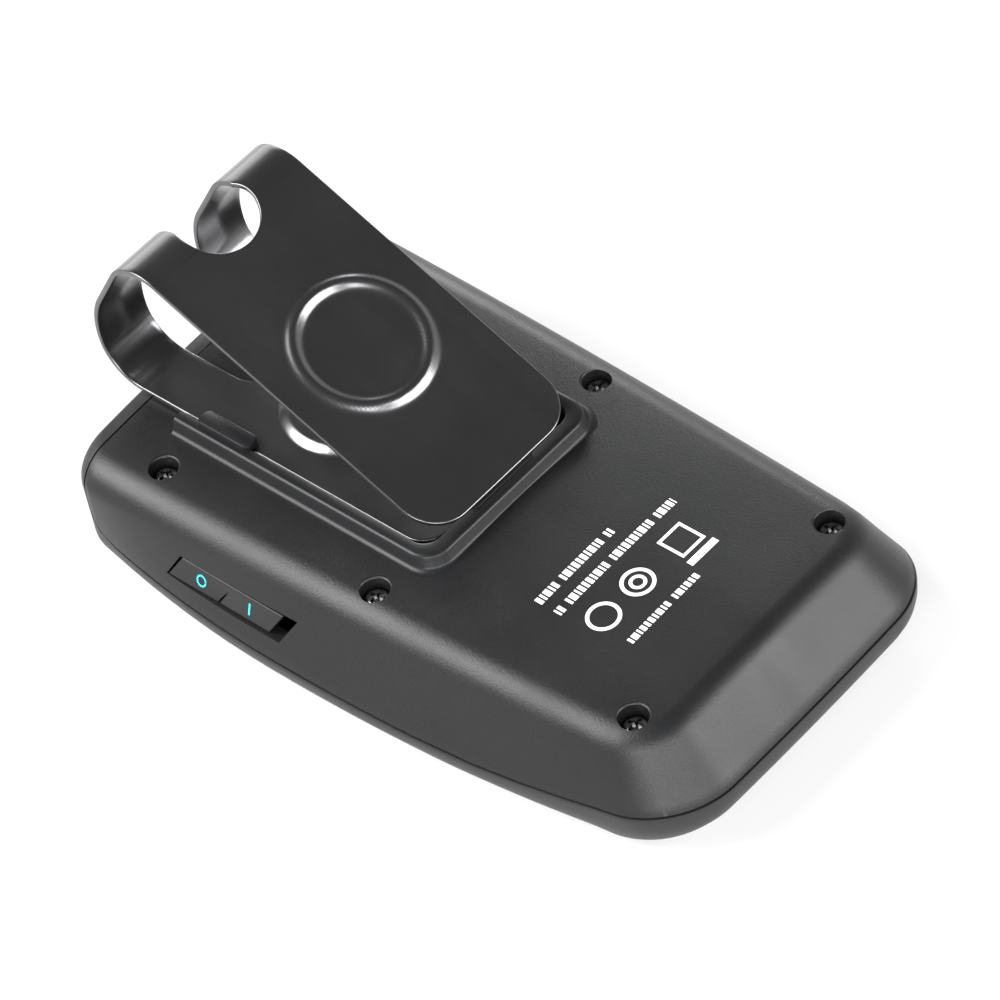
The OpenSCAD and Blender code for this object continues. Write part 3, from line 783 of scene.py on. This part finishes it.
RHYTHM = [0.62, 0.34, 0.8, 0.3, 0.55, -0.5, 0.4, 0.85, 0.3, 0.6, 0.46]
marks = print_line(18.4, -12.6, 2.4, 1.35, RHYTHM)
marks += print_line(21.8, -12.6, 11.2, 1.35, RHYTHM[3:] + RHYTHM[:3])
marks += print_line(33.2, -11.0, 3.0, 1.1, RHYTHM[6:] + RHYTHM[:6])
marks += [hoop(27.4, -9.6, 2.2, 0.55), hoop(27.4, -2.6, 2.2, 0.55), hoop(27.4, -2.6, 1.0, 0.5)]
marks += [bar(25.0, 25.45, 4.0, 8.6), bar(29.3, 29.75, 4.0, 8.6), bar(25.45, 29.3, 4.0, 4.45, 2),
          bar(25.45, 29.3, 8.15, 8.6, 2), bar(30.6, 31.7, 3.6, 9.0)]
back_print = ink_slabs("back_print", marks, on_back)
print("printed strokes:", len(marks))

# %% Switch marks
KNOB_N = np.array([0, -0.927, 0.375])
KNOB_UP = np.array([0, 0.375, 0.927])


def on_knob(p, lift):
    """Flat points on the leaning face of the knob, measured from its middle."""
    origin = np.array([SW_X, SW_Y + 0.3, SW_Z])
    return origin + p[..., :1] * [1, 0, 0] + p[..., 1:] * KNOB_UP + lift * KNOB_N


switch_print = ink_slabs("switch_print", [hoop(-4.6, 0, 0.8, 0.26), bar(4.5, 4.8, -0.92, 0.92, 2)], on_knob)
print("switch marks:", len(switch_print.data.polygons), "faces")

# %% [markdown]
# The keys carry plain symbols: a plus, a minus, a bar through a ring for mute and a curved stroke for
# a handset. They lie on the dished faces, which point down, so their lift is downwards.

# %% Key marks
def on_key(size):
    """A function that puts flat points on that key's dished face."""
    length, width, centre = size

    def place(p, lift):
        reach = width / 2 - 0.05
        off_x = np.maximum(0, np.abs(p[..., 0]) - (length - width) / 2)
        inset = np.clip(width / 2 - np.hypot(off_x, p[..., 1]), 0.45, reach)
        z = KEY_Z + 0.25 * np.sin(0.5 * np.pi * (inset - 0.45) / (reach - 0.45)) ** 2
        return np.stack([centre[0] + p[..., 0], centre[1] + p[..., 1], z - lift], -1)

    return place


ends = [hoop(x, 0.35, 0.75, 0.9, 0, 360, 20) for x in (-2.95, 2.95)]
KEY_MARKS = {"call_button": [hoop(0, -2.6, 4.6, 0.9, 48, 132, 24), *ends],
             "mute_button": [hoop(0, 0, 1.5, 0.35), bar(-0.16, 0.16, -2.2, 2.2, 12)],
             "volume_up_button": [bar(-1.2, 1.2, -0.2, 0.2, 4), bar(-0.2, 0.2, 0.2, 1.2, 4),
                                  bar(-0.2, 0.2, -1.2, -0.2, 4)],
             "volume_down_button": [bar(-1.2, 1.2, -0.2, 0.2, 4)]}
key_prints = {name: ink_slabs(name + "_mark", KEY_MARKS[name], on_key(KEYS[name])) for name in KEYS}
print("key marks:", {name: len(strokes) for name, strokes in KEY_MARKS.items()})

# %% [markdown]
# ## Finishes
# The finishes share two effects: a fine moulded grain and slow cloudy changes of gloss. Each is a
# node group with named sockets, placed by every material with its own values. Both read Object
# coordinates, so nothing slides when a piece moves.

# %% Node helpers
def link(tree, a, b):
    tree.links.new(a, b)


def feed(tree, socket, value):
    """Gives a socket a number, a colour or another socket's output."""
    if isinstance(value, (int, float)):
        socket.default_value = value
    elif isinstance(value, tuple):
        socket.default_value = (*value, 1)
    else:
        link(tree, value, socket)


def effect_group(name, inputs, outputs):
    """An empty shader group with float inputs {name: default} and float outputs, and a position input."""
    tree = bpy.data.node_groups.new(name, "ShaderNodeTree")
    tree.interface.new_socket("Vector", in_out="INPUT", socket_type="NodeSocketVector")
    for socket, value in inputs.items():
        tree.interface.new_socket(socket, in_out="INPUT", socket_type="NodeSocketFloat").default_value = value
    for socket in outputs:
        tree.interface.new_socket(socket, in_out="OUTPUT", socket_type="NodeSocketFloat")
    return tree, tree.nodes.new("NodeGroupInput"), tree.nodes.new("NodeGroupOutput")


def noise(tree, vector, scale, detail=3, rough=0.5):
    """A noise texture; scale is a number or a socket."""
    n = tree.nodes.new("ShaderNodeTexNoise")
    n.inputs["Detail"].default_value, n.inputs["Roughness"].default_value = detail, rough
    feed(tree, n.inputs["Scale"], scale)
    link(tree, vector, n.inputs["Vector"])
    return n.outputs["Fac"]


def remap(tree, value, low, high, to_low, to_high):
    """Maps value from low..high to to_low..to_high, clamped; the last two may be sockets."""
    m = tree.nodes.new("ShaderNodeMapRange")
    ends = {"From Min": low, "From Max": high, "To Min": to_low, "To Max": to_high, "Value": value}
    for socket, v in ends.items():
        feed(tree, m.inputs[socket], v)
    return m.outputs["Result"]


def calc(tree, kind, a, b):
    m = tree.nodes.new("ShaderNodeMath")
    m.operation = kind
    for socket, v in zip(m.inputs, (a, b)):
        feed(tree, socket, v)
    return m.outputs[0]


# %% [markdown]
# Spark eroded steel leaves a moulding covered in tiny rounded pits. Two sizes of noise make that
# grain: one fine, one twice as coarse and weaker.

# %% Moulded grain group
grain, g_in, g_out = effect_group("Moulded grain", {"Scale": 4000.0}, ["Height", "Speckle"])
fine = noise(grain, g_in.outputs["Vector"], g_in.outputs["Scale"], 2, 0.6)
half_scale = calc(grain, "MULTIPLY", g_in.outputs["Scale"], 0.45)
coarse = noise(grain, g_in.outputs["Vector"], half_scale, 2, 0.5)
link(grain, calc(grain, "ADD", fine, calc(grain, "MULTIPLY", coarse, 0.7)), g_out.inputs["Height"])
link(grain, remap(grain, fine, 0.35, 0.7, 0.0, 1.0), g_out.inputs["Speckle"])

# %% [markdown]
# Handling polishes some places and leaves others dull: a slow cloudy change, with a few long faint
# streaks where a cloth has wiped.

# %% Handling group
handling, h_in, h_out = effect_group("Handling", {"Low": 0.4, "High": 0.55}, ["Roughness", "Smudge"])
cloud = noise(handling, h_in.outputs["Vector"], 55, 4, 0.55)
stretch = handling.nodes.new("ShaderNodeMapping")
stretch.inputs["Scale"].default_value = (30, 220, 60)
stretch.inputs["Rotation"].default_value = (0.2, 0.1, 0.6)
link(handling, h_in.outputs["Vector"], stretch.inputs["Vector"])
streak = noise(handling, stretch.outputs["Vector"], 1.0, 3, 0.6)
cloud, streak = calc(handling, "MULTIPLY", cloud, 0.7), calc(handling, "MULTIPLY", streak, 0.3)
mixed = calc(handling, "ADD", cloud, streak)
gloss = remap(handling, mixed, 0.36, 0.64, h_in.outputs["Low"], h_in.outputs["High"])
link(handling, gloss, h_out.inputs["Roughness"])
link(handling, remap(handling, mixed, 0.5, 0.72, 0.0, 1.0), h_out.inputs["Smudge"])

# %% [markdown]
# Every material has the same few steps: position, the two groups, a colour that shifts a little with
# the smudges and the speckle, and a bump from the grain.

# %% The material builder
def place_group(tree, group, vector, **values):
    n = tree.nodes.new("ShaderNodeGroup")
    n.node_tree = group
    for socket, value in values.items():
        n.inputs[socket].default_value = value
    link(tree, vector, n.inputs["Vector"])
    return n


def blend_colours(tree, mask, a, b):
    m = tree.nodes.new("ShaderNodeMix")
    m.data_type = "RGBA"
    for number, value in ((6, a), (7, b), (0, mask)):
        feed(tree, m.inputs[number], value)
    return m.outputs[2]


def coat(name, colour, rough=(0.4, 0.55), metal=0.0, grain_scale=4000.0, bump=0.0, speckle=0.25,
         smudge=0.15, lift=1.5, **principled):
    """A moulded, painted or metal finish. speckle and smudge say how far the colour shifts towards a
    version of itself lift times as bright."""
    mat = bpy.data.materials.new(name)
    mat.use_nodes = True
    tree = mat.node_tree
    bsdf = tree.nodes["Principled BSDF"]
    position = tree.nodes.new("ShaderNodeTexCoord").outputs["Object"]
    g = place_group(tree, grain, position, Scale=grain_scale)
    h = place_group(tree, handling, position, Low=rough[0], High=rough[1])
    bright = tuple(min(1.0, c * lift) for c in colour)
    shift = calc(tree, "ADD", calc(tree, "MULTIPLY", g.outputs["Speckle"], speckle),
                      calc(tree, "MULTIPLY", h.outputs["Smudge"], smudge))
    link(tree, blend_colours(tree, shift, colour, bright), bsdf.inputs["Base Color"])
    link(tree, h.outputs["Roughness"], bsdf.inputs["Roughness"])
    bsdf.inputs["Metallic"].default_value = metal
    if bump:
        b = tree.nodes.new("ShaderNodeBump")
        b.inputs["Strength"].default_value, b.inputs["Distance"].default_value = 1.0, bump * MM
        link(tree, g.outputs["Height"], b.inputs["Height"])
        link(tree, b.outputs["Normal"], bsdf.inputs["Normal"])
    for socket, value in principled.items():
        bsdf.inputs[socket.replace("_", " ")].default_value = value
    return mat


# %% [markdown]
# The case is a charcoal plastic with a fine grain. The clip is spring steel blackened in a hot bath:
# dark, satin, and sharp in its highlights.

# %% Case, clip and key finishes
back_plastic = coat("charcoal moulded plastic", (0.0038, 0.0039, 0.0042), (0.34, 0.42), bump=0.03,
                    grain_scale=6500.0, speckle=0.6, lift=2.5, Specular_IOR_Level=0.3)
front_plastic = coat("black moulded plastic", (0.0075, 0.0077, 0.0082), (0.38, 0.48), bump=0.03,
                     grain_scale=6500.0, speckle=0.5, lift=2.0, Specular_IOR_Level=0.35)
pad_plastic = coat("smooth charcoal plastic", (0.0065, 0.0067, 0.0072), (0.30, 0.38), bump=0.01,
                   grain_scale=6000.0, Specular_IOR_Level=0.2)
knob_plastic = coat("satin knob plastic", (0.007, 0.007, 0.0075), (0.33, 0.42), bump=0.012,
                    grain_scale=5000.0, Specular_IOR_Level=0.3)
key_rubber = coat("dark key plastic", (0.045, 0.045, 0.05), (0.42, 0.55), bump=0.006)
call_plastic = coat("green key plastic", (0.03, 0.22, 0.09), (0.38, 0.5), bump=0.006)
black_steel = coat("blackened spring steel", (0.11, 0.11, 0.113), (0.2, 0.27), metal=0.95, bump=0.0025,
                   grain_scale=4500.0, smudge=0.12, Coat_Weight=0.15, Coat_Roughness=0.15)
print("finishes so far:", len(bpy.data.materials))

# %% Metal, ink and inside finishes
ring_metal = coat("spun satin ring", (0.42, 0.425, 0.435), (0.26, 0.36), metal=1.0, bump=0.003,
                  grain_scale=1800.0)
grille_coat = coat("powder coated grille", (0.03, 0.03, 0.032), (0.5, 0.62), bump=0.01,
                   grain_scale=3000.0)
screw_black = coat("black zinc screws", (0.17, 0.17, 0.175), (0.2, 0.3), metal=1.0, speckle=0.4)
bright_metal = coat("plated sheet", (0.62, 0.62, 0.61), (0.25, 0.4), metal=1.0, bump=0.003)
white_ink = coat("white ink", (0.56, 0.56, 0.55), (0.5, 0.6), speckle=0.15, lift=1.15)
cyan_ink = coat("blue green ink", (0.02, 0.42, 0.45), (0.5, 0.6), speckle=0.15, lift=1.2)
board_mask = coat("solder mask", (0.012, 0.09, 0.035), (0.2, 0.35), bump=0.01, grain_scale=900.0)
foil = coat("battery foil", (0.5, 0.52, 0.55), (0.3, 0.45), metal=0.9, bump=0.02,
            grain_scale=1200.0)
foam = coat("closed cell foam", (0.03, 0.03, 0.03), (0.85, 0.95), bump=0.05, grain_scale=2500.0)
cone_film = coat("pressed cone", (0.02, 0.02, 0.021), (0.5, 0.65), bump=0.01, grain_scale=1500.0)
basket_steel = coat("basket steel", (0.1, 0.1, 0.105), (0.35, 0.5), metal=1.0, bump=0.004)
boot_rubber = coat("soft rubber", (0.02, 0.02, 0.02), (0.6, 0.75), bump=0.01)
clear_guide = coat("clear light guide", (0.75, 0.82, 0.92), (0.08, 0.16), speckle=0.0,
                   Transmission_Weight=0.6, IOR=1.49)
led_clear = coat("clear lamp", (0.9, 0.88, 0.7), (0.15, 0.25), speckle=0.0)
print("finishes:", len(bpy.data.materials))

# %% [markdown]
# ## Dressing the working pieces
# Every working piece gets a finish, also those inside the case. Each rebuilt skin stands for its
# working piece and rides on the same body.

# %% Finishes of the working pieces
INSIDE = {"speaker_grille": grille_coat, "main_board": board_mask, "battery_pack": foil,
          "speaker_cone": cone_film, "microphone_boot": boot_rubber, "light_pipe": clear_guide,
          "indicator_led": led_clear, **dict.fromkeys(("battery_pad", "speaker_gasket"), foam),
          **dict.fromkeys(("speaker_frame", "speaker_magnet"), basket_steel),
          **dict.fromkeys(("tact_switches", "slide_switch", "charge_socket", "radio_module", "microphone",
                           "board_screws"), bright_metal)}
for name, finish in INSIDE.items():
    nodes[name].data.materials.clear()
    nodes[name].data.materials.append(finish)
print("working pieces with a finish of their own:", len(INSIDE))


# %% Put each new piece on its body
def dress(obj, finish, body, slot, *stands_for):
    """Gives a piece its finish, its body and the working pieces it stands for; slot is not used."""
    obj.data.materials.clear()
    obj.data.materials.append(finish)
    if body:
        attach(obj, body)
    if stands_for:
        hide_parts(*stands_for)


dress(back, back_plastic, "housing", "back_shell", "back_cover")
dress(front, front_plastic, "housing", "front_shell", "front_cover")
dress(pad_wall, pad_plastic, "housing", "back_shell")
for name in ("clip_tab_near", "clip_tab_far", "clip_end_lip"):
    dress(bpy.data.objects[name], pad_plastic, "housing", "back_shell")
dress(ring, ring_metal, "housing", "trim", "grille_ring")
dress(screws, screw_black, "housing", "screw_steel", "case_screws")
dress(knob, knob_plastic, "side_switch", "knob", "switch_knob")
dress(switch_print, cyan_ink, "side_switch", "knob")
dress(back_print, white_ink, "housing", "back_shell")
for name in KEYS:
    body = name.replace("_button", "_key")
    slot = "call_key" if name == "call_button" else "keys"
    dress(key_caps[name], call_plastic if name == "call_button" else key_rubber, body, slot, name)
    dress(key_prints[name], white_ink, body, slot)

# %% [markdown]
# The clip is one pressing on the real object, and its two bend strips flex when the upper leaf is
# pulled open. Here the strips go on no body: they stay where they are made, with their place put
# into their mesh.

# %% The clip on its bodies
dress(lower_leaf, black_steel, "clip", "clip_steel", "clip_base")
dress(upper_leaf, black_steel, "upper_leaf", "clip_steel", "clip_leaf")
dress(bend_strips, black_steel, None, "clip_steel", "clip_bends")
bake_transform(bend_strips)

# %% [markdown]
# ## Stage, light and camera
# The floor is white paper on a light table, seen through from below. A broad panel over the left side
# draws the long highlight along the shoulder, three open the bevelled end and its near corner, and two
# weak ones behind catch the loops of the clip.

# %% Floor
floor_mesh = bpy.data.meshes.new("floor")
FLOOR_HALF, FLOOR_DROP = 3, -5e-5
corners = [(x * FLOOR_HALF, y * FLOOR_HALF, FLOOR_DROP) for x, y in ((-1, -1), (1, -1), (1, 1), (-1, 1))]
floor_mesh.from_pydata(corners, [], [(0, 1, 2, 3)])
floor = bpy.data.objects.new("floor", floor_mesh)
scene.collection.objects.link(floor)
floor_paper = bpy.data.materials.new("white paper")
floor_paper.use_nodes = True
tree = floor_paper.node_tree
paper = tree.nodes["Principled BSDF"].inputs
paper["Base Color"].default_value, paper["Roughness"].default_value = (0.25, 0.25, 0.25, 1), 0.9
paper["Emission Color"].default_value, paper["Emission Strength"].default_value = (1, 1, 1, 1), 0.5
side_seen = tree.nodes.new("ShaderNodeNewGeometry")
link(tree, calc(tree, "SUBTRACT", 1.0, side_seen.outputs["Backfacing"]), paper["Alpha"])
floor_mesh.materials.append(floor_paper)


# %% Studio lights
def panel(name, direction, distance, size, watts):
    """A square soft panel that looks at the object from a direction."""
    lamp = bpy.data.lights.new(name, "AREA")
    lamp.shape, lamp.size, lamp.energy = "SQUARE", size, watts
    obj = bpy.data.objects.new(name, lamp)
    d = np.array(direction, float)
    obj.location = (d / np.linalg.norm(d) * distance).tolist()
    obj.rotation_mode = "QUATERNION"
    obj.rotation_quaternion = obj.location.to_track_quat("Z", "Y")
    scene.collection.objects.link(obj)


panel("shoulder panel", (-0.54, -0.48, 0.69), 1.2, 0.8, 33)
panel("end panel", (0.80, 0.42, 0.42), 1.4, 0.8, 27)
panel("corner panel", (0.72, -0.27, 0.44), 1.3, 0.6, 13)
panel("front panel", (0.42, -0.76, 0.46), 1.2, 0.6, 15)
panel("left panel", (-0.84, 0.46, 0.22), 1.3, 0.6, 2.0)
panel("back panel", (-0.66, 0.70, 0.27), 1.4, 0.45, 8)
sky = bpy.data.worlds.new("studio")
sky.use_nodes = True
tree = sky.node_tree
coord = tree.nodes.new("ShaderNodeTexCoord")
split = tree.nodes.new("ShaderNodeSeparateXYZ")
link(tree, coord.outputs["Generated"], split.inputs[0])
height = remap(tree, split.outputs["Z"], 0.05, 0.65, 0.0, 1.0)
glow = blend_colours(tree, height, (1.6, 1.6, 1.6), (0.12, 0.12, 0.122))
link(tree, glow, tree.nodes["Background"].inputs["Color"])
tree.nodes["Background"].inputs["Strength"].default_value = 0.9
scene.world = sky

# %% [markdown]
# The camera is a long lens two thirds of a metre away, above the bevelled end and rolled a little.

# %% Camera
azimuth, elevation, roll = math.radians(52.05), math.radians(46.46), math.radians(-14)
target, distance = np.array([2.016, -1.835, 19.0]) * MM, 666.55 * MM
flat_reach = math.cos(elevation)
away = np.array([math.sin(azimuth) * flat_reach, -math.cos(azimuth) * flat_reach, math.sin(elevation)])
level = np.array([math.cos(azimuth), math.sin(azimuth), 0])
upright = np.cross(away, level)
right = math.cos(roll) * level + math.sin(roll) * upright
up = -math.sin(roll) * level + math.cos(roll) * upright
camera = bpy.data.objects.new("camera", bpy.data.cameras.new("camera"))
camera.data.lens, camera.data.sensor_width = 178.44, 36
camera.data.clip_start, camera.data.clip_end = 0.01, 20
axes = np.stack([right, up, away, target + away * distance], -1)
camera.matrix_world = Matrix([*axes.tolist(), [0, 0, 0, 1]])
scene.collection.objects.link(camera)
scene.camera = camera
scene.view_settings.view_transform = "Standard"
print("camera at, mm:", [round(float(v) / MM, 1) for v in target + away * distance])
